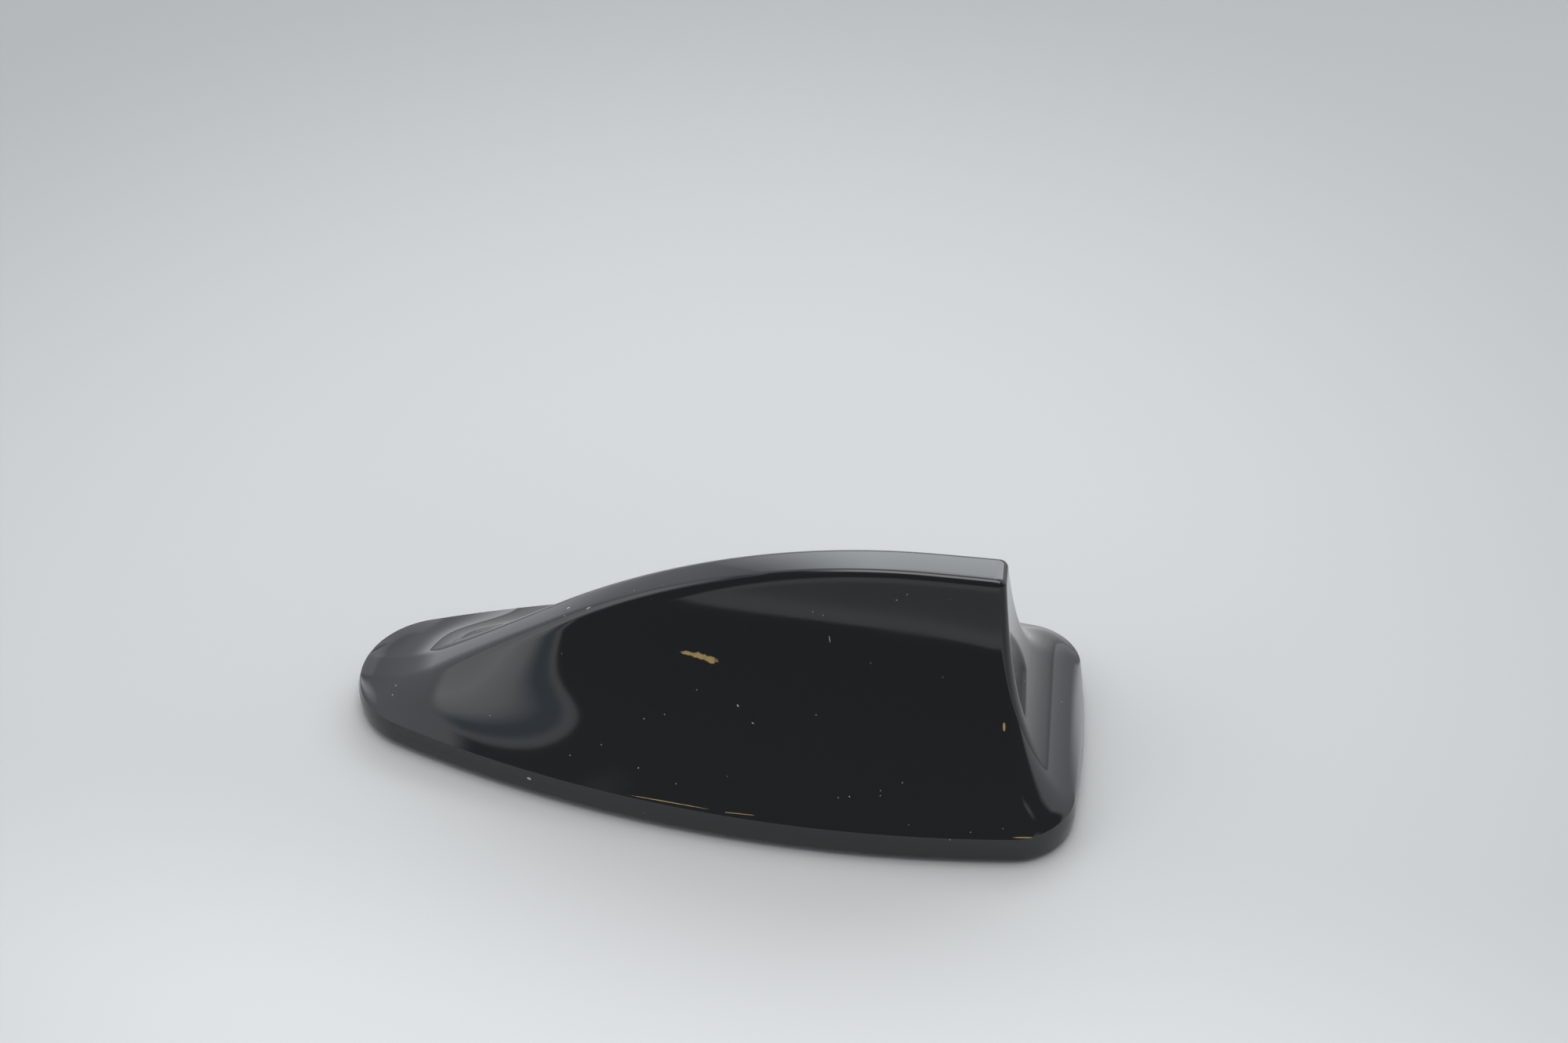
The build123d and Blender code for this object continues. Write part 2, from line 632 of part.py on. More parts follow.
with BuildPart() as satellite_patch:
    with BuildSketch(Plane.XY.offset(board_top)):
        with Locations((PATCH_X, 0.0)):
            Rectangle(PATCH_SIDE, PATCH_SIDE)
            Circle(PIN_RADIUS + FIT, mode=Mode.SUBTRACT)
    extrude(amount=PATCH_HEIGHT)
    chamfer(satellite_patch.faces().sort_by(Axis.Z)[-1].outer_wire().edges(), 0.4)

with BuildPart() as patch_pin:
    with BuildSketch(Plane.XY.offset(board_bottom - ROOM)):
        with Locations((PATCH_X, 0.0)):
            Circle(PIN_RADIUS)
    extrude(amount=BOARD_THICKNESS + PATCH_HEIGHT + ROOM)
    with BuildSketch(Plane.XY.offset(board_top + PATCH_HEIGHT)):
        with Locations((PATCH_X, 0.0)):
            Circle(2 * PIN_RADIUS)
    extrude(amount=PIN_RADIUS)

with BuildPart() as shield_can:
    with BuildSketch(Plane.XY.offset(board_top)):
        with Locations((CAN_X, 0.0)):
            RectangleRounded(CAN_LENGTH, CAN_WIDTH, 1.0)
    extrude(amount=CAN_HEIGHT)
    with BuildSketch(Plane.XY.offset(board_top)):
        with Locations((CAN_X, 0.0)):
            RectangleRounded(CAN_LENGTH - 2 * CAN_SHEET, CAN_WIDTH - 2 * CAN_SHEET, 1.0 - CAN_SHEET)
    extrude(amount=CAN_HEIGHT - CAN_SHEET, mode=Mode.SUBTRACT)

with BuildPart() as amplifier_chips:
    with BuildSketch(Plane.XY.offset(board_top)):
        with Locations((CAN_X - CAN_LENGTH / 4, 0.0)):
            Rectangle(5.0, 5.0)
        with Locations((CAN_X + CAN_LENGTH / 4, CAN_WIDTH / 4), (CAN_X + CAN_LENGTH / 4, -CAN_WIDTH / 4)):
            Rectangle(4.0, 4.0)
    extrude(amount=CHIP_HEIGHT)

with BuildPart() as lead_socket:
    with BuildSketch(Plane.XY.offset(board_top)):
        with Locations((BOARD_REAR - SOCKET_LENGTH / 2, 0.0)):
            Rectangle(SOCKET_LENGTH, SOCKET_WIDTH)
    extrude(amount=SOCKET_HEIGHT)
    with BuildSketch(Plane.YZ.offset(BOARD_REAR)):
        with Locations((0.0, board_top + SOCKET_HEIGHT / 2)):
            Circle(SOCKET_BORE)
            Circle(SOCKET_BORE / 3, mode=Mode.SUBTRACT)
    extrude(amount=-SOCKET_LENGTH + 1.0, mode=Mode.SUBTRACT)

# the plate stands on the holder's beam and follows the inside of the ridge
beam_top = board_top + CAN_HEIGHT + ROOM + BEAM_HEIGHT
plate_front_x = leg_front_x - LEG_WIDTH / 2
plate_rear_x = min(PLATE_REAR, ridge_end_x - WALL - ROOM)
headroom = WALL + DAMPER_HEIGHT + SEAT_FIT + FIT
plate_mid_x = (plate_front_x + plate_rear_x) / 2
plate_top = [(x, ridge_height(x) - headroom) for x in (plate_front_x, plate_mid_x, plate_rear_x)]
leg_end = board_bottom - ROOM

with BuildPart() as radiator_holder:
    with BuildSketch(Plane.XY.offset(board_top)):
        with Locations(leg_spots):
            Rectangle(POST_LENGTH, POST_WIDTH)
    extrude(amount=beam_top - board_top)
    with BuildSketch(Plane.XY.offset(beam_top - BEAM_HEIGHT)):
        with Locations(((leg_front_x + leg_rear_x) / 2, 0.0)):
            Rectangle(leg_rear_x - leg_front_x, POST_WIDTH)
    extrude(amount=BEAM_HEIGHT)
    with BuildSketch(Plane.XY.offset(board_top)):
        with Locations(leg_spots):
            Rectangle(LEG_WIDTH + 2 * FIT, PLATE_THICKNESS + 2 * FIT)
    extrude(amount=beam_top - board_top, mode=Mode.SUBTRACT)

with BuildPart() as radiator_plate:
    with BuildSketch(Plane.XZ.offset(-PLATE_THICKNESS / 2)):
        with BuildLine():
            arch = ThreePointArc(*plate_top)
            Line(arch @ 1, (plate_rear_x, beam_top))
            Line((plate_rear_x, beam_top), (plate_front_x, beam_top))
            Line((plate_front_x, beam_top), arch @ 0)
        make_face()
        with Locations(*[(spot[0], (leg_end + beam_top) / 2) for spot in leg_spots]):
            Rectangle(LEG_WIDTH, beam_top - leg_end)
        slot_height = (plate_top[0][1] - beam_top) * 0.7
        with Locations((plate_mid_x - PLATE_SLOT_PITCH, beam_top + slot_height / 2)):
            Rectangle(PLATE_SLOT, slot_height, mode=Mode.SUBTRACT)
        with Locations((plate_mid_x, plate_top[1][1] - slot_height / 2)):
            Rectangle(PLATE_SLOT, slot_height, mode=Mode.SUBTRACT)
        with Locations((plate_mid_x + PLATE_SLOT_PITCH, beam_top + slot_height / 2)):
            Rectangle(PLATE_SLOT, slot_height, mode=Mode.SUBTRACT)
    extrude(amount=PLATE_THICKNESS)

with BuildPart() as damper_strip:
    with BuildSketch(Plane.XZ.offset(-DAMPER_WIDTH / 2)):
        with BuildLine():
            low = ThreePointArc(*[(x, z + FIT) for x, z in plate_top])
            high = ThreePointArc(*[(x, z + FIT + DAMPER_HEIGHT) for x, z in plate_top])
            Line(low @ 0, high @ 0)
            Line(low @ 1, high @ 1)
        make_face()
    extrude(amount=DAMPER_WIDTH)

pieces = {
    "fin_cover": fin_cover,
    "base_casting": base_casting,
    "roof_seal": roof_seal,
    "cover_seal": cover_seal,
    "cover_screws": cover_screws,
    "lead_grommet": lead_grommet,
    "main_board": main_board,
    "board_screws": board_screws,
    "satellite_patch": satellite_patch,
    "patch_pin": patch_pin,
    "shield_can": shield_can,
    "amplifier_chips": amplifier_chips,
    "radiator_plate": radiator_plate,
    "radiator_holder": radiator_holder,
    "lead_socket": lead_socket,
    "damper_strip": damper_strip,
}
os.makedirs("parts", exist_ok=True)
for name, piece in pieces.items():
    piece.part.label = name
    export_step(piece.part, "parts/" + name + ".step")
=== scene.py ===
import bpy
import math
from mathutils import Matrix, Vector


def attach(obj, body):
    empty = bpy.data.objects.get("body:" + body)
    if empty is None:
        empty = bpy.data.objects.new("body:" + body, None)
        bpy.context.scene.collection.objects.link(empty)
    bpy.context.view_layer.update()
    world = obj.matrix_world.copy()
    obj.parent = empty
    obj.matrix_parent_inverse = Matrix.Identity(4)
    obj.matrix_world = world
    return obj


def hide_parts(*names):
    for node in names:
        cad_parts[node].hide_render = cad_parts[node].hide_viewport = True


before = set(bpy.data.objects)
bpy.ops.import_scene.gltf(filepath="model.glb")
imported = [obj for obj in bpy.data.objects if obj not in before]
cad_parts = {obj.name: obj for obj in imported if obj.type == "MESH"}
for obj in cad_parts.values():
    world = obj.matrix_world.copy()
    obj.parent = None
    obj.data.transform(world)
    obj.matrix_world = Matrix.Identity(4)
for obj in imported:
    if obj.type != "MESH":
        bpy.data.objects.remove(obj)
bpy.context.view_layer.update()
print("frame loaded")


def freshMaterial(name):
    mat = bpy.data.materials.new(name)
    mat.use_nodes = True
    tree = mat.node_tree
    return mat, tree, tree.nodes["Principled BSDF"]


def math2(tree, operation, a, b):
    node = tree.nodes.new("ShaderNodeMath")
    node.operation = operation
    for socket, value in zip(node.inputs, (a, b)):
        if isinstance(value, (int, float)):
            socket.default_value = value
        else:
            tree.links.new(value, socket)
    return node.outputs[0]


def product(tree, first, *others):
    for value in others:
        first = math2(tree, "MULTIPLY", first, value)
    return first


def vector2(tree, operation, a, b=(0.0, 0.0, 0.0)):
    node = tree.nodes.new("ShaderNodeVectorMath")
    node.operation = operation
    for socket, value in zip(node.inputs, (a, b)):
        if isinstance(value, (tuple, Vector)):
            socket.default_value = value
        else:
            tree.links.new(value, socket)
    return node.outputs["Value" if operation in ("DOT_PRODUCT", "LENGTH") else "Vector"]


def ramp(tree, value, low, high, outLow=0.0, outHigh=1.0):
    node = tree.nodes.new("ShaderNodeMapRange")
    node.interpolation_type = "SMOOTHSTEP"
    tree.links.new(value, node.inputs["Value"])
    node.inputs["From Min"].default_value = low
    node.inputs["From Max"].default_value = high
    node.inputs["To Min"].default_value = outLow
    node.inputs["To Max"].default_value = outHigh
    return node.outputs["Result"]


def noise(tree, coords, scale, detail=3.0, rough=0.5):
    node = tree.nodes.new("ShaderNodeTexNoise")
    tree.links.new(coords, node.inputs["Vector"])
    node.inputs["Scale"].default_value = scale
    node.inputs["Detail"].default_value = detail
    node.inputs["Roughness"].default_value = rough
    return node.outputs["Fac"]


def mixColour(tree, factor, a, b, blend="MIX"):
    node = tree.nodes.new("ShaderNodeMix")
    node.data_type = "RGBA"
    node.blend_type = blend
    if isinstance(factor, float):
        node.inputs[0].default_value = factor
    else:
        tree.links.new(factor, node.inputs[0])
    for socket, value in ((node.inputs[6], a), (node.inputs[7], b)):  # colours A and B
        if isinstance(value, tuple):
            socket.default_value = (*value, 1.0)
        else:
            tree.links.new(value, socket)
    return node.outputs[2]


def tinted(tree, value, tint=(1.0, 1.0, 1.0)):
    node = tree.nodes.new("ShaderNodeCombineColor")
    for socket, share in zip(node.inputs, tint):
        tree.links.new(math2(tree, "MULTIPLY", value, share), socket)
    return node.outputs[0]


def objectPlace(tree):
    return tree.nodes.new("ShaderNodeTexCoord").outputs["Object"]


def millimetres(tree):
    return vector2(tree, "MULTIPLY", objectPlace(tree), (1000.0, 1000.0, 1000.0))


def alongAxes(tree, vector):
    node = tree.nodes.new("ShaderNodeSeparateXYZ")
    tree.links.new(vector, node.inputs[0])
    return node.outputs


def bumped(tree, height, strength, depth, normal=None):
    node = tree.nodes.new("ShaderNodeBump")
    node.inputs["Strength"].default_value = strength
    node.inputs["Distance"].default_value = depth / 1000  # depth is in mm
    tree.links.new(height, node.inputs["Height"])
    if normal is not None:
        tree.links.new(normal, node.inputs["Normal"])
    return node.outputs["Normal"]


coverPaint = {  # lengths in mm, scales per mm
    "black": (0.0065, 0.0067, 0.0075),
    "ior": 1.62,
    "roughness": 0.045,
    "haze": 0.03,  # roughness added where the gloss has dulled
    "hazeScale": 0.05,
    "hazeEdge": (0.35, 0.75),
    "peelScale": 0.45,
    "peelDetail": 1.0,
    "peelStrength": 0.15,
    "peelDepth": 0.0006,
    "tan": (0.46, 0.32, 0.105),
    "tanDark": 0.7,  # share of the tan in its dark patches
    "tanScale": 1.3,
    "chipStrength": 0.6,
    "chipDepth": 0.12,
    "dust": (0.42, 0.42, 0.40),
    "dull": 0.75,  # roughness of chips and dust
    "speckScale": 0.5,
    "speckPick": (0.74, 1.0),  # cells that draw a number in this range hold a speck
    "speckSize": 0.08,
    "speckShow": 0.55,
    "wobbleScale": 1.2,
    "wobbleDetail": 6.0,
    "wobbleRough": 0.85,
    "spotEdge": (1.04, 0.94),
    "spotDepth": 2.5,  # how far a spot reaches into the cover
    "sideNormal": (0.0, -0.55, 0.83),  # roughly, on the near side
    # middle, way along, half length, half width, raggedness
    "chips": [
        ((-4.1, -8.8, 26.6), (0.97, -0.15, 0.08), 1.4, 0.32, 3.0),
        ((-1.9, -9.1, 26.45), (0.98, -0.16, -0.05), 2.0, 0.5, 3.0),
        ((0.3, -9.6, 26.2), (0.96, -0.18, -0.14), 1.5, 0.55, 3.0),
        ((58.5, -15.1, 20.8), (0.1, -0.55, -0.8), 0.85, 0.26, 0.5),
        ((-5.0, -30.3, 7.0), (0.99, -0.12, 0.02), 7.8, 0.075, 1.4),
        ((8.9, -31.6, 7.05), (0.99, -0.03, 0.02), 2.9, 0.07, 1.4),
        ((63.9, -30.3, 6.65), (0.99, 0.15, -0.02), 1.9, 0.1, 1.2),
    ],
    "nicks": [
        ((-34.0, -25.6, 4.7), (0.95, -0.25, 0.0), 0.45, 0.18, 0.6),
        ((6.4, -15.0, 19.8), (0.6, -0.5, -0.6), 0.25, 0.15, 0.9),
        ((9.7, -17.4, 17.8), (0.9, -0.3, -0.2), 0.24, 0.1, 0.9),
        ((23.5, -8.1, 33.3), (0.2, -0.35, -0.9), 0.7, 0.07, 0.3),
        ((-29.8, -0.5, 28.3), (0.8, 0.2, 0.5), 0.4, 0.12, 0.5),
        ((-25.2, -2.7, 30.8), (0.8, 0.2, 0.5), 0.5, 0.1, 0.5),
    ],
}


def spotMask(tree, coords, spot, wobble):
    middle, way, halfLength, halfWidth, ragged = spot
    u = Vector(way).normalized()
    v = Vector(coverPaint["sideNormal"]).cross(u).normalized()
    w = u.cross(v)
    local = vector2(tree, "SUBTRACT", coords, middle)
    joined = tree.nodes.new("ShaderNodeCombineXYZ")
    reaches = ((u, halfLength), (v, halfWidth), (w, coverPaint["spotDepth"]))
    for socket, (axis, reach) in zip(joined.inputs, reaches):
        along = vector2(tree, "DOT_PRODUCT", local, axis)
        tree.links.new(math2(tree, "DIVIDE", along, reach), socket)
    size = vector2(tree, "LENGTH", joined.outputs[0])
    size = math2(tree, "ADD", size, math2(tree, "MULTIPLY", wobble, ragged))
    return ramp(tree, size, *coverPaint["spotEdge"])


def spotsMask(tree, coords, spots, wobble):
    joined = None
    for spot in spots:
        mask = spotMask(tree, coords, spot, wobble)
        joined = mask if joined is None else math2(tree, "MAXIMUM", joined, mask)
    return joined


def speckMask(tree, coords):
    cells = tree.nodes.new("ShaderNodeTexVoronoi")
    cells.inputs["Scale"].default_value = coverPaint["speckScale"]
    tree.links.new(coords, cells.inputs["Vector"])
    drawn = tree.nodes.new("ShaderNodeSeparateColor")
    tree.links.new(cells.outputs["Color"], drawn.inputs[0])
    size = ramp(tree, drawn.outputs[0], *coverPaint["speckPick"], 0.0, coverPaint["speckSize"])
    specks = math2(tree, "LESS_THAN", cells.outputs["Distance"], size)
    return math2(tree, "MULTIPLY", specks, coverPaint["speckShow"])


def paintCover():
    mat, tree, bsdf = freshMaterial("coverPaint")
    mm = millimetres(tree)
    wobble = noise(tree, mm, coverPaint["wobbleScale"], coverPaint["wobbleDetail"], coverPaint["wobbleRough"])
    wobble = math2(tree, "SUBTRACT", wobble, 0.5)  # either side of zero
    chips = spotsMask(tree, mm, coverPaint["chips"], wobble)
    nicks = spotsMask(tree, mm, coverPaint["nicks"], wobble)
    pale = math2(tree, "MAXIMUM", nicks, speckMask(tree, mm))
    tanDark = tuple(coverPaint["tanDark"] * c for c in coverPaint["tan"])
    tan = mixColour(tree, noise(tree, mm, coverPaint["tanScale"]), tanDark, coverPaint["tan"])
    colour = mixColour(tree, pale, coverPaint["black"], coverPaint["dust"])
    colour = mixColour(tree, chips, colour, tan)
    tree.links.new(colour, bsdf.inputs["Base Color"])
    gloss = coverPaint["roughness"]
    cloud = noise(tree, mm, coverPaint["hazeScale"])
    haze = ramp(tree, cloud, *coverPaint["hazeEdge"], gloss, gloss + coverPaint["haze"])
    damage = math2(tree, "MULTIPLY", math2(tree, "MAXIMUM", chips, pale), coverPaint["dull"])
    tree.links.new(math2(tree, "MAXIMUM", haze, damage), bsdf.inputs["Roughness"])
    bsdf.inputs["IOR"].default_value = coverPaint["ior"]
    peel = noise(tree, mm, coverPaint["peelScale"], coverPaint["peelDetail"])
    peel = bumped(tree, peel, coverPaint["peelStrength"], coverPaint["peelDepth"])
    sunk = math2(tree, "SUBTRACT", 1.0, chips)
    sunk = bumped(tree, sunk, coverPaint["chipStrength"], coverPaint["chipDepth"], peel)
    tree.links.new(sunk, bsdf.inputs["Normal"])
    return mat


def dress(node, mat):
    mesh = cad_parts[node].data
    mesh.materials.clear()
    mesh.materials.append(mat)


coverMaterial = paintCover()
dress("fin_cover", coverMaterial)
print("cover painted")

skin = {  # millimetres and degrees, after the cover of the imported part
    "length": 150.0, "width": 67.0, "height": 47.8,
    "noseRadius": 17.2, "widest": 104.3, "rearRadius": 185.0, "cornerRadius": 9.5,  # outline
    "rimGap": 0.8, "crease": 5.0, "rimTop": 6.4, "bevel": 0.45,
    "rimRound": 1.1, "rimTurns": (90, 67, 45, 22, 0), "rimWall": 2.6, "ledge": 4.0,
    "noseRun": 10.0, "noseBlend": 25.0, "riseAngle": 31.9,  # ridge, from the nose to the rear
    "crestRadius": 140.0, "dropRadius": 700.0, "ridgeToRear": 18.6,
    "stripFront": 5.6, "stripRear": 7.6, "stripShare": 0.6,  # share of the half width, at most
    "edge": 1.2, "noseEdge": 10.0, "edgeBuild": 10.0,
    "topAngle": 77.7, "topBuild": 15.0, "topLeast": 4.0,  # slope of the hollow side
    "footAngle": 36.0, "footBuild": 14.0, "footLeast": 2.0,
    "handles": (0.5, 0.4),
    "tail": ((0.0, 48.8), (2.6, 26.0), (6.0, 9.0), (20.1, 6.6)),  # from the ridge end, and height
    "tailBow": 0.55,  # share of the way down where the tail begins to bow
    "tailBack": 9.0,  # least way of the tail's top ahead of the rear
    "crown": 1.7, "crownRound": 0.9,
    "roundTop": 1.5, "roundFoot": 6.5, "roundBuild": 1.1,  # corners between side and tail
    "roundRim": 0.9,  # share of the way down where they turn into the outline's corners
    "roundPull": 0.56, "roundLeast": 0.3,
    "start": 0.9, "startSpread": 0.35,  # first station behind the nose, and closer stations there
    "stations": 130, "arcSteps": 6, "sideSteps": 40, "roundSteps": 12, "tailSteps": 14, "noseSteps": 10,
    "solveSteps": 60,
    "mirrorGap": 0.02, "weldGap": 0.004, "sliver": 0.002,
    "fit": (0.9997, 0.9998, 0.9997),  # keeps it within the facets of the CAD cover
    "sharpAngle": 28.0,
}
noseX = -skin["length"] / 2
rearX = skin["length"] / 2
ridgeEnd = rearX - skin["ridgeToRear"]
noseMid = noseX + skin["noseRadius"]
widestX = noseX + skin["widest"]
sideRadius = (widestX - noseMid) ** 2 + skin["width"] ** 2 / 4 - skin["noseRadius"] ** 2
sideRadius /= skin["width"] - 2 * skin["noseRadius"]
sideMidY = skin["width"] / 2 - sideRadius
sideStartX = widestX + sideRadius * (noseMid - widestX) / math.hypot(noseMid - widestX, sideMidY)
riseSlope = math.radians(skin["riseAngle"])
riseX = noseX + skin["noseRun"]
blendRun = skin["noseBlend"] * math.tan(riseSlope / 2)
straightRise = skin["height"] - skin["rimTop"] - skin["crestRadius"] * (1 - math.cos(riseSlope))
crestX = riseX + skin["crestRadius"] * math.sin(riseSlope) + straightRise / math.tan(riseSlope)
tailPoints = [(ridgeEnd + x, z) for x, z in skin["tail"]]


def halfWidth(x, inset):
    if x < sideStartX:
        return math.sqrt(max((skin["noseRadius"] - inset) ** 2 - (x - noseMid) ** 2, 0.0))
    return sideMidY + math.sqrt((sideRadius - inset) ** 2 - (x - widestX) ** 2)


def ridgeHeight(x):
    if x <= riseX - blendRun:
        return skin["rimTop"]
    if x <= riseX + blendRun * math.cos(riseSlope):
        sag = math.sqrt(skin["noseBlend"] ** 2 - (x - riseX + blendRun) ** 2)
        return skin["rimTop"] + skin["noseBlend"] - sag
    if x <= crestX - skin["crestRadius"] * math.sin(riseSlope):
        return skin["rimTop"] + (x - riseX) * math.tan(riseSlope)
    radius = skin["crestRadius"] if x <= crestX else skin["dropRadius"]
    return skin["height"] - radius + math.sqrt(radius ** 2 - (x - crestX) ** 2)


def curveAt(points, share):
    rest = 1 - share
    weights = (rest ** 3, 3 * rest ** 2 * share, 3 * rest * share ** 2, share ** 3)
    return tuple(sum(w * p[axis] for w, p in zip(weights, points)) for axis in range(len(points[0])))


def tailPoint(axis, value):
    # the point of the tail's profile at an x (axis 0) or a height (axis 1), by halving
    low, high = -0.1, 1.15  # a little past both ends
    for step in range(skin["solveSteps"]):
        share = (low + high) / 2
        point = curveAt(tailPoints, share)
        if (point[1] > value) if axis == 1 else (point[0] < value):
            low = share
        else:
            high = share
    return curveAt(tailPoints, low)


def sectionPoint(x, level):
    # half width and height; level below 1 lies on the rounded strip edge, from 1 to 2 on the side
    z = ridgeHeight(x)
    rise = z - skin["rimTop"]
    top = skin["topAngle"] * (1 - math.exp(-rise / skin["topBuild"]))
    top = math.radians(max(top, skin["topLeast"]))
    foot = skin["footAngle"] * (1 - math.exp(-rise / skin["footBuild"]))
    foot = math.radians(max(foot, skin["footLeast"]))
    reach = halfWidth(x, skin["bevel"])
    strip = skin["stripFront"] + (skin["stripRear"] - skin["stripFront"]) * (x - noseX) / skin["length"]
    half = min(strip / 2, skin["stripShare"] * reach)
    edge = skin["edge"] + skin["noseEdge"] * math.exp(-rise / skin["edgeBuild"])
    run = edge * math.tan(top / 2)
    if level < 1:
        turn = top * level
        return (half - run + edge * math.sin(turn), z - edge * (1 - math.cos(turn)))
    start = (half + run * math.cos(top), z - run * math.sin(top))
    rim = (reach, skin["rimTop"])
    chord = math.hypot(rim[0] - start[0], rim[1] - start[1])
    upper, lower = (h * chord for h in skin["handles"])
    points = (
        start,
        (start[0] + upper * math.cos(top), start[1] - upper * math.sin(top)),
        (rim[0] - lower * math.cos(foot), rim[1] + lower * math.sin(foot)),
        rim,
    )
    return curveAt(points, level - 1)


def smooth(value):
    value = min(max(value, 0.0), 1.0)
    return value * value * (3 - 2 * value)


def levelLoop(level):
    # half a loop round the fin, from the nose along the side and round the tail to the middle
    share = max(level - 1, 0.0)
    bow = smooth((share - skin["tailBow"]) / (1 - skin["tailBow"])) / (2 * skin["rearRadius"])
    radius = skin["roundTop"] + (skin["roundFoot"] - skin["roundTop"]) * smooth(share * skin["roundBuild"])
    nearRim = smooth((share - skin["roundRim"]) / (1 - skin["roundRim"]))
    radius += (skin["cornerRadius"] - skin["roundFoot"]) * nearRim
    zTop = ridgeHeight(ridgeEnd)
    crownZ = zTop - skin["crown"]
    if level < 1:  # over the crown
        turn = math.radians(90) * level
        lineX = tailPoint(1, crownZ)[0] - skin["crown"] * (1 - math.sin(turn))
        lineZ = zTop - skin["crown"] * (1 - math.cos(turn))
        radius = skin["crownRound"] + (skin["roundTop"] - skin["crownRound"]) * level
        cornerX = lineX
    else:  # down the tail, where the side meets it
        lastX = rearX - 1
        cornerX = ridgeEnd
        for step in range(skin["solveSteps"]):
            z = sectionPoint(min(cornerX, lastX), level)[1]
            cornerX += 0.5 * (tailPoint(1, min(z, crownZ))[0] - cornerX)
        y = sectionPoint(min(cornerX, lastX), level)[0]
        lineX = min(cornerX + bow * y * y, rearX - skin["bevel"] - skin["tailBack"] * (1 - share))
        lineZ = None
        for step in range(skin["solveSteps"]):
            cornerX = lineX - bow * sectionPoint(cornerX, level)[0] ** 2
    cornerY, cornerZ = sectionPoint(cornerX, level)
    startX = noseX + skin["start"]
    endX = cornerX - radius
    loop = []
    for step in range(skin["stations"] + 1):
        t = step / skin["stations"]
        t = skin["startSpread"] * t * t + (1 - skin["startSpread"]) * t
        x = startX + (endX - startX) * t
        loop.append((x, *sectionPoint(x, level)))
    begin = loop[-1]

    def onTail(y):
        x = lineX - bow * y * y
        return (x, y, lineZ if lineZ is not None else tailPoint(0, x)[1])

    end = onTail(max(cornerY - radius, skin["roundLeast"]))
    if lineZ is not None:
        cornerZ = 0.5 * (begin[2] + end[2])
    else:
        cornerZ = 0.5 * (cornerZ + onTail(cornerY)[2])
    corner = (cornerX, cornerY, cornerZ)
    pulled = [tuple(a + skin["roundPull"] * (b - a) for a, b in zip(point, corner)) for point in (begin, end)]
    handles = (begin, *pulled, end)
    loop += [curveAt(handles, step / skin["roundSteps"]) for step in range(1, skin["roundSteps"] + 1)]
    loop += [onTail(end[1] * (1 - step / skin["tailSteps"])) for step in range(1, skin["tailSteps"] + 1)]
    return loop


def offsetLoop(loop, away, z):
    # moved out level by the plan normal, to height z
    moved = []
    for index, point in enumerate(loop):
        before = loop[max(index - 1, 0)]
        after = loop[min(index + 1, len(loop) - 1)]
        dx, dy = after[0] - before[0], after[1] - before[1]
        if index == 0 or index == len(loop) - 1:
            dx, dy = 0.0, 1.0 if index == 0 else -1.0
        size = math.hypot(dx, dy)
        moved.append((point[0] - away * dy / size, point[1] + away * dx / size, z))
    return moved


levels = [step / skin["arcSteps"] for step in range(skin["arcSteps"])]
levels += [1 + step / skin["sideSteps"] for step in range(skin["sideSteps"] + 1)]
loops = [levelLoop(level) for level in levels]
tipRadius = skin["noseRadius"] - skin["bevel"]
firstTurn = math.atan2(loops[-1][0][1], noseMid - loops[-1][0][0])
tip = []
for step in range(skin["noseSteps"]):
    turn = firstTurn * step / skin["noseSteps"]
    tip.append((noseMid - tipRadius * math.cos(turn), tipRadius * math.sin(turn), skin["rimTop"]))
rimLoop = tip + loops[-1]
rimLoops = [offsetLoop(rimLoop, skin["bevel"], skin["crease"])]
for turn in skin["rimTurns"]:
    inset = skin["rimRound"] * (1 - math.sin(math.radians(turn)))
    height = skin["rimGap"] + skin["rimRound"] * (1 - math.cos(math.radians(turn)))
    rimLoops.append(offsetLoop(rimLoop, skin["bevel"] - inset, height))
for height in (skin["rimGap"], skin["ledge"]):  # across the foot of the rim, and up inside it
    rimLoops.append(offsetLoop(rimLoop, skin["bevel"] - skin["rimWall"], height))


def buildSkin():
    verts, faces = [], []

    def addLoop(loop):
        first = len(verts)
        verts.extend(tuple(0.001 * value for value in point) for point in loop)  # in metres
        return list(range(first, first + len(loop)))

    def join(one, other):
        for index in range(len(one) - 1):
            faces.append((one[index], one[index + 1], other[index + 1], other[index]))

    rows = [addLoop(loop) for loop in loops]
    for one, other in zip(rows, rows[1:]):
        join(other, one)
    roundEnd = skin["stations"] + skin["roundSteps"]
    middle = addLoop([(x, 0.0, z) for x, y, z in loops[0][:roundEnd]])
    join(rows[0][:roundEnd], middle)
    faces.append((middle[-1], rows[0][roundEnd - 1], *rows[0][roundEnd:]))
    tipRow = addLoop(tip)
    faces.append((*tipRow, *[row[0] for row in reversed(rows)], middle[0]))
    rim = [tipRow + rows[-1]] + [addLoop(loop) for loop in rimLoops]
    for one, other in zip(rim, rim[1:]):
        join(other, one)
    mesh = bpy.data.meshes.new("coverSkin")
    mesh.from_pydata(verts, [], faces)
    mesh.update()
    skinPiece = bpy.data.objects.new("coverSkin", mesh)
    bpy.context.scene.collection.objects.link(skinPiece)
    return skinPiece


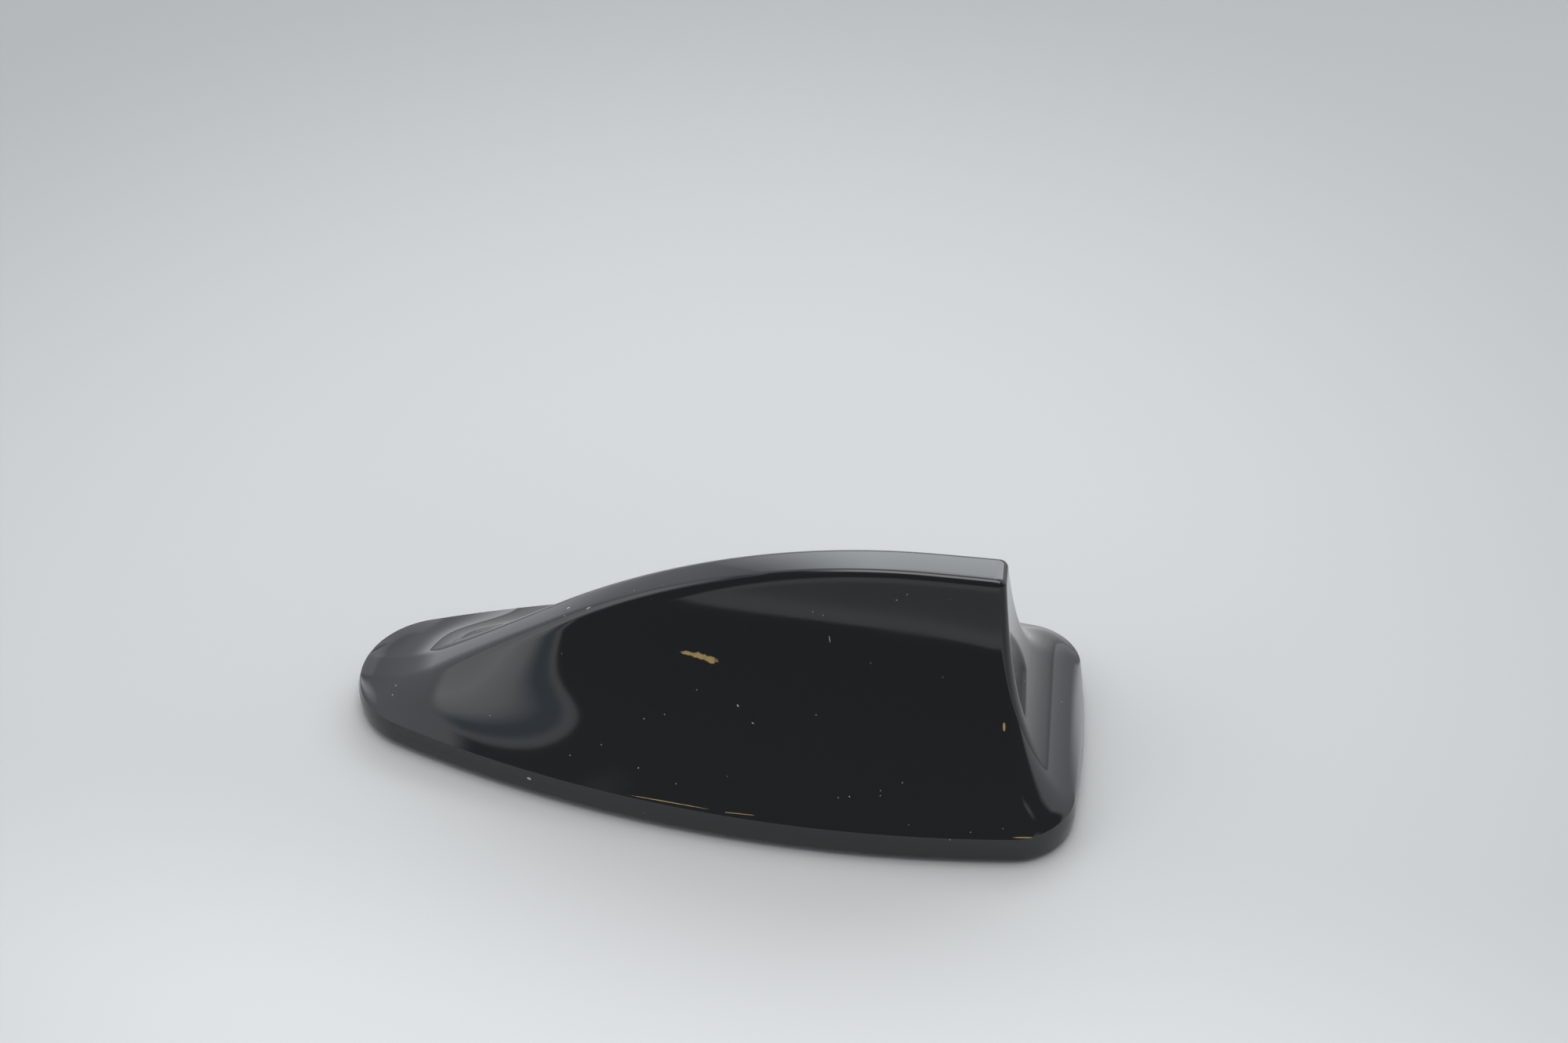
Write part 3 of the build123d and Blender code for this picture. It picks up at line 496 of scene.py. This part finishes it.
coverSkin = buildSkin()
bpy.ops.object.select_all(action="DESELECT")
coverSkin.select_set(True)
bpy.context.view_layer.objects.active = coverSkin
mirror = coverSkin.modifiers.new("otherSide", "MIRROR")
mirror.use_axis = (False, True, False)
mirror.merge_threshold = skin["mirrorGap"] / 1000
bpy.ops.object.modifier_apply(modifier="otherSide")
bpy.ops.object.mode_set(mode="EDIT")
bpy.ops.mesh.select_all(action="SELECT")
bpy.ops.mesh.remove_doubles(threshold=skin["weldGap"] / 1000)
bpy.ops.mesh.dissolve_degenerate(threshold=skin["sliver"] / 1000)
bpy.ops.transform.resize(value=skin["fit"])
bpy.ops.mesh.normals_make_consistent(inside=False)
bpy.ops.object.mode_set(mode="OBJECT")
bpy.ops.object.shade_smooth_by_angle(angle=math.radians(skin["sharpAngle"]))
coverSkin.data.materials.append(coverMaterial)
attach(coverSkin, "root")
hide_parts("fin_cover")
print("cover skinned", len(coverSkin.data.polygons))

innerLooks = {  # grain per mm; vary is the share that the colour darkens by
    "castMetal": {
        "colour": (0.52, 0.53, 0.55), "roughness": 0.45, "metal": 1.0,
        "grain": 2.0, "vary": 0.2, "bump": 0.4, "nodes": ["base_casting"],
    },
    "sealRubber": {
        "colour": (0.02, 0.02, 0.021), "roughness": 0.75, "metal": 0.0,
        "grain": 3.0, "vary": 0.3, "bump": 0.3, "nodes": ["roof_seal", "cover_seal", "lead_grommet"],
    },
    "screwSteel": {
        "colour": (0.50, 0.51, 0.53), "roughness": 0.35, "metal": 1.0,
        "grain": 4.0, "vary": 0.15, "bump": 0.1, "nodes": ["cover_screws", "board_screws"],
    },
    "boardLaminate": {
        "colour": (0.02, 0.13, 0.055), "roughness": 0.4, "metal": 0.0,
        "grain": 1.5, "vary": 0.25, "bump": 0.1, "nodes": ["main_board"],
    },
    "patchCeramic": {
        "colour": (0.62, 0.54, 0.40), "roughness": 0.6, "metal": 0.0,
        "grain": 2.5, "vary": 0.1, "bump": 0.2, "nodes": ["satellite_patch"],
    },
    "pinBrass": {
        "colour": (0.72, 0.53, 0.22), "roughness": 0.3, "metal": 1.0,
        "grain": 4.0, "vary": 0.1, "bump": 0.1, "nodes": ["patch_pin", "radiator_plate"],
    },
    "canSteel": {
        "colour": (0.62, 0.62, 0.61), "roughness": 0.32, "metal": 1.0,
        "grain": 1.2, "vary": 0.12, "bump": 0.1, "nodes": ["shield_can"],
    },
    "chipPlastic": {
        "colour": (0.02, 0.02, 0.02), "roughness": 0.55, "metal": 0.0,
        "grain": 5.0, "vary": 0.2, "bump": 0.2, "nodes": ["amplifier_chips"],
    },
    "holderPlastic": {
        "colour": (0.60, 0.58, 0.53), "roughness": 0.5, "metal": 0.0,
        "grain": 2.0, "vary": 0.08, "bump": 0.1, "nodes": ["radiator_holder", "lead_socket"],
    },
    "damperFoam": {
        "colour": (0.05, 0.05, 0.05), "roughness": 0.95, "metal": 0.0,
        "grain": 2.5, "vary": 0.5, "bump": 0.8, "nodes": ["damper_strip"],
    },
}
grainLook = {"edge": (0.2, 0.8), "spread": 0.15, "depth": 0.05}  # spread of roughness; depth in mm


def plainMaterial(name, look):
    mat, tree, bsdf = freshMaterial(name)
    grain = noise(tree, millimetres(tree), look["grain"])
    dark = tuple(c * (1 - look["vary"]) for c in look["colour"])
    tree.links.new(mixColour(tree, grain, dark, look["colour"]), bsdf.inputs["Base Color"])
    smoother = look["roughness"] * (1 - grainLook["spread"])
    rougher = min(look["roughness"] * (1 + grainLook["spread"]), 1.0)
    tree.links.new(ramp(tree, grain, *grainLook["edge"], smoother, rougher), bsdf.inputs["Roughness"])
    bsdf.inputs["Metallic"].default_value = look["metal"]
    tree.links.new(bumped(tree, grain, look["bump"], grainLook["depth"]), bsdf.inputs["Normal"])
    return mat


for name, look in innerLooks.items():
    mat = plainMaterial(name, look)
    for node in look["nodes"]:
        dress(node, mat)
print("inner pieces dressed")

floorLook = {  # metres
    "size": 6.0,
    "drop": 0.00005,  # below the part
    "colour": (0.56, 0.562, 0.552),
    "paintedShade": (0.40, 0.408, 0.405),  # painted shade, darker towards the corners of the picture
    "paintedShadeSpan": (0.09, 0.36),  # from the middle, the span of the painted shade
    "bright": (0.68, 0.68, 0.67),  # painted light, brighter in front and far off
    "near": (-0.02, -0.09),  # along Y, the span of the painted light in front
    "nearSide": (-0.20, -0.04),  # along X, the span of the painted light in front
    "far": (0.42, 0.95),  # from the middle, the span of the painted light far off
    # middle of the painted shade and of the painted light far off
    "middle": (-0.02, 0.0, 0.0),
    "roughness": 0.85,
    "specular": 0.2,
}
bpy.ops.object.select_all(action="DESELECT")
bpy.ops.mesh.primitive_plane_add(size=floorLook["size"], location=(0, 0, -floorLook["drop"]))
floor = bpy.context.object
floor.name = "floor"
mat, tree, bsdf = freshMaterial("paleSheetPaintedLight")
spot = vector2(tree, "SUBTRACT", objectPlace(tree), floorLook["middle"])
away = vector2(tree, "LENGTH", spot)
spotX, spotY = alongAxes(tree, spot)[:2]
# painted light on the floor in front of the part, where its shade falls
near = product(tree, ramp(tree, spotY, *floorLook["near"]), ramp(tree, spotX, *floorLook["nearSide"]))
tone = mixColour(tree, near, floorLook["colour"], floorLook["bright"])
# painted shade, darker towards the corners
tone = mixColour(tree, ramp(tree, away, *floorLook["paintedShadeSpan"]), tone, floorLook["paintedShade"])
# painted light, brighter far off
tone = mixColour(tree, ramp(tree, away, *floorLook["far"]), tone, floorLook["bright"])
tree.links.new(tone, bsdf.inputs["Base Color"])
bsdf.inputs["Roughness"].default_value = floorLook["roughness"]
bsdf.inputs["Specular IOR Level"].default_value = floorLook["specular"]
floor.data.materials.append(mat)
print("floor laid")

tent = {  # light by the way it comes from, in shares along X, Y and Z
    "walls": 0.98,
    "tint": (0.955, 1.0, 1.05),
    "low": (1.7, 1.0),  # behind at the horizon, to the left and to the right
    "lowSide": (-0.2, 0.35),
    "lowTop": (0.0, 0.36),
    "over": 3.0,  # added overhead
    "overLeft": (-0.38, -0.2),
    "overRight": (0.5, 0.28),
    "overFront": (-0.34, -0.24),
    "overBack": (0.34, 0.22),
    "overLow": (0.66, 0.82),
    "front": (0.22, 0.06),  # along Y, where the dark room in front takes over from the walls
    "roomEdge": -0.72,  # along X, the left edge of the room
    "lean": 0.30,  # share of Z that this edge leans by
    "room": [  # way from that edge, and light there
        (-0.42, (1.05, 1.07, 1.10)),
        (-0.20, (1.75, 1.76, 1.80)),
        (-0.11, (1.30, 1.32, 1.36)),
        (-0.06, (0.40, 0.50, 0.60)),
        (-0.035, (0.42, 0.51, 0.60)),
        (-0.018, (0.80, 0.84, 0.88)),
        (-0.004, (0.72, 0.75, 0.78)),
        (0.004, (0.18, 0.19, 0.205)),
    ],
}
world = bpy.data.worlds.new("tent")
bpy.context.scene.world = world
world.use_nodes = True
tree = world.node_tree
way = tree.nodes.new("ShaderNodeTexCoord").outputs["Generated"]  # in a world, the way itself
wayX, wayY, wayZ = alongAxes(tree, way)
horizon = ramp(tree, wayX, *tent["lowSide"], *tent["low"])
change = math2(tree, "SUBTRACT", tent["walls"], horizon)
change = math2(tree, "MULTIPLY", change, ramp(tree, wayZ, *tent["lowTop"]))
walls = tinted(tree, math2(tree, "ADD", horizon, change), tent["tint"])
over = product(
    tree,
    ramp(tree, wayX, *tent["overLeft"]),
    tent["over"],
    ramp(tree, wayX, *tent["overRight"]),
    ramp(tree, wayY, *tent["overFront"]),
    ramp(tree, wayY, *tent["overBack"]),
    ramp(tree, wayZ, *tent["overLow"]),
)
past = math2(tree, "SUBTRACT", wayX, tent["roomEdge"])
past = math2(tree, "SUBTRACT", past, math2(tree, "MULTIPLY", wayZ, tent["lean"]))
first, last = tent["room"][0][0], tent["room"][-1][0]
past = math2(tree, "DIVIDE", math2(tree, "SUBTRACT", past, first), last - first)
bands = tree.nodes.new("ShaderNodeValToRGB")
while len(bands.color_ramp.elements) < len(tent["room"]):
    bands.color_ramp.elements.new(0.5)
for stop, (edge, level) in zip(bands.color_ramp.elements, tent["room"]):
    stop.position = (edge - first) / (last - first)
    stop.color = (*level, 1.0)
tree.links.new(past, bands.inputs[0])
shade = mixColour(tree, ramp(tree, wayY, *tent["front"]), walls, bands.outputs[0])
lit = mixColour(tree, 1.0, shade, tinted(tree, over), "ADD")
tree.links.new(lit, tree.nodes["Background"].inputs["Color"])
print("tent lit")

card = {  # metres
    "place": (0.10, 0.45, 0.44),
    "turn": 90.0,  # degrees about X, so that it faces the part
    "width": 0.72,
    "height": 0.42,
    "light": 3.1,
    "leftEdge": (-0.40, -0.14),  # fades along its width
    "rightEdge": (0.36, 0.24),
    "lowEdge": (-0.21, -0.14),  # and along its height
    "highEdge": (0.13, 0.07),
}
bpy.ops.object.select_all(action="DESELECT")
bpy.ops.mesh.primitive_plane_add(size=1.0, location=(0, 0, 0))
sheet = bpy.context.object
sheet.name = "backCard"
bpy.ops.object.mode_set(mode="EDIT")
bpy.ops.mesh.select_all(action="SELECT")
bpy.ops.transform.resize(value=(card["width"], card["height"], 1.0))
bpy.ops.object.mode_set(mode="OBJECT")
sheet.location = card["place"]
sheet.rotation_euler = (math.radians(card["turn"]), 0.0, 0.0)
mat, tree, bsdf = freshMaterial("cardLight")
tree.nodes.remove(bsdf)
acrossCard, upCard = alongAxes(tree, objectPlace(tree))[:2]
strength = product(
    tree,
    ramp(tree, acrossCard, *card["leftEdge"]),
    card["light"],
    ramp(tree, acrossCard, *card["rightEdge"]),
    ramp(tree, upCard, *card["lowEdge"]),
    ramp(tree, upCard, *card["highEdge"]),
)
glow = tree.nodes.new("ShaderNodeEmission")
glow.inputs["Color"].default_value = (*tent["tint"], 1.0)
tree.links.new(strength, glow.inputs["Strength"])
clear = tree.nodes.new("ShaderNodeBsdfTransparent")
both = tree.nodes.new("ShaderNodeAddShader")
tree.links.new(glow.outputs[0], both.inputs[0])
tree.links.new(clear.outputs[0], both.inputs[1])
tree.links.new(both.outputs[0], tree.nodes["Material Output"].inputs["Surface"])
sheet.data.materials.append(mat)
print("card hung")

shot = {
    "place": (0.05353, -0.33325, 0.33684),  # metres
    "right": (0.99219, 0.12456, 0.00615),
    "up": (-0.08475, 0.63721, 0.76602),
    "back": (0.0915, -0.76056, 0.64279),
    "lens": 52.73,
    "sensor": 36.0,
    "clip": 0.01,
}
camera = bpy.data.objects.new("camera", bpy.data.cameras.new("camera"))
bpy.context.scene.collection.objects.link(camera)
camera.data.lens = shot["lens"]
camera.data.sensor_width = shot["sensor"]
camera.data.clip_start = shot["clip"]
facing = Matrix((shot["right"], shot["up"], shot["back"])).transposed()
camera.matrix_world = Matrix.Translation(shot["place"]) @ facing.to_4x4()
bpy.context.scene.camera = camera
bpy.context.scene.view_settings.view_transform = "Standard"
print("camera set")
